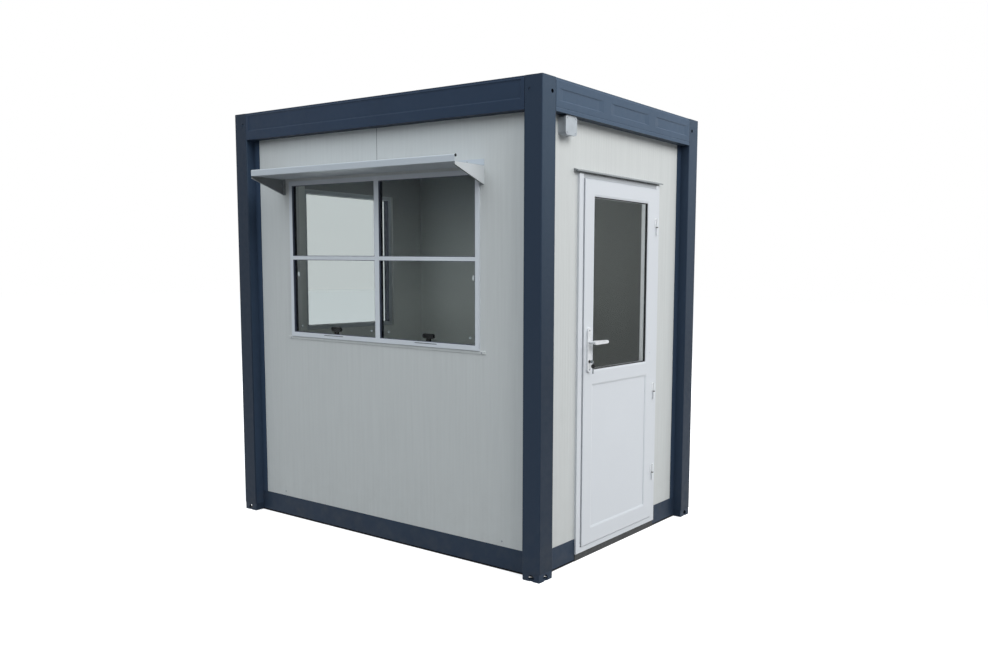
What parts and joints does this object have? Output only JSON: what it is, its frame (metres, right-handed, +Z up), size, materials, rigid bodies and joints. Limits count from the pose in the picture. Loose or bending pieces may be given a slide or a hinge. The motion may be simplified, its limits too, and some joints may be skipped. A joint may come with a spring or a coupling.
{
  "type": "security guard booth",
  "caption": "Small portable guard booth: navy steel corner-post frame, white sandwich walls, a glazed front window under an awning and a half-glazed end door.",
  "frame": {"origin": "centre of the footprint of the four posts, on the ground", "axes": "+Z up, -Y out of the front with the window, +X out of the end with the door"},
  "size_m": [2.4115, 1.761, 2.5],
  "materials": {
    "navy_steel": "satin",
    "wall_white": "satin",
    "door_white": "satin",
    "frame_white": "satin",
    "handle_white": "gloss",
    "glass": "clear",
    "black_plastic": "matte",
    "box_grey": "matte",
    "floor_grey": "matte",
    "roof_zinc": "satin",
    "lock_metal": "satin"
  },
  "bodies": {
    "booth": {"post_front_left": "navy_steel", "post_front_right": "navy_steel", "post_back_left": "navy_steel", "post_back_right": "navy_steel", "corner_feet": "navy_steel", "roof_beam_front": "navy_steel", "roof_beam_back": "navy_steel", "roof_beam_door_end": "navy_steel", "roof_beam_far_end": "navy_steel", "floor_beam_front": "navy_steel", "floor_beam_back": "navy_steel", "floor_beam_door_end": "navy_steel", "floor_beam_far_end": "navy_steel", "floor_deck": "floor_grey", "ceiling_panel": "wall_white", "roof_sheet": "roof_zinc", "front_wall_left": "wall_white", "front_wall_right": "wall_white", "back_wall_left": "wall_white", "back_wall_right": "wall_white", "far_end_wall": "wall_white", "door_end_wall_front": "wall_white", "door_end_wall_back": "wall_white", "door_end_wall_top": "wall_white", "window_frame": "frame_white", "window_panes": "glass", "window_handles": "black_plastic", "window_sill": "frame_white", "awning_sheet": "frame_white", "awning_brackets": "frame_white", "end_window_frame": "frame_white", "end_window_pane": "glass", "door_jambs": "door_white", "door_head": "door_white", "door_threshold": "door_white", "door_drip_cap": "frame_white", "junction_box": "box_grey", "hinge_frame_halves": "frame_white"},
    "door": {"door_leaf": "door_white", "door_glass": "glass", "door_panel": "door_white", "handle_plates": "handle_white", "lock_cylinder": "lock_metal", "hinge_door_halves": "frame_white"},
    "lever": {"lever_handle": "handle_white"}
  },
  "joints": [
    {"name": "door_hinge", "type": "hinge", "parent": "booth", "child": "door", "pos_m": [1.165, 0.3745, 0], "axis": [0, 0, 1], "range_deg": [0, 100]},
    {"name": "lever_turn", "type": "hinge", "parent": "door", "child": "lever", "pos_m": [1.166, -0.327, 1.187], "axis": [-1, 0, 0], "range_deg": [0, 40], "stiffness_Nm_per_rad": 1.2}
  ]
}
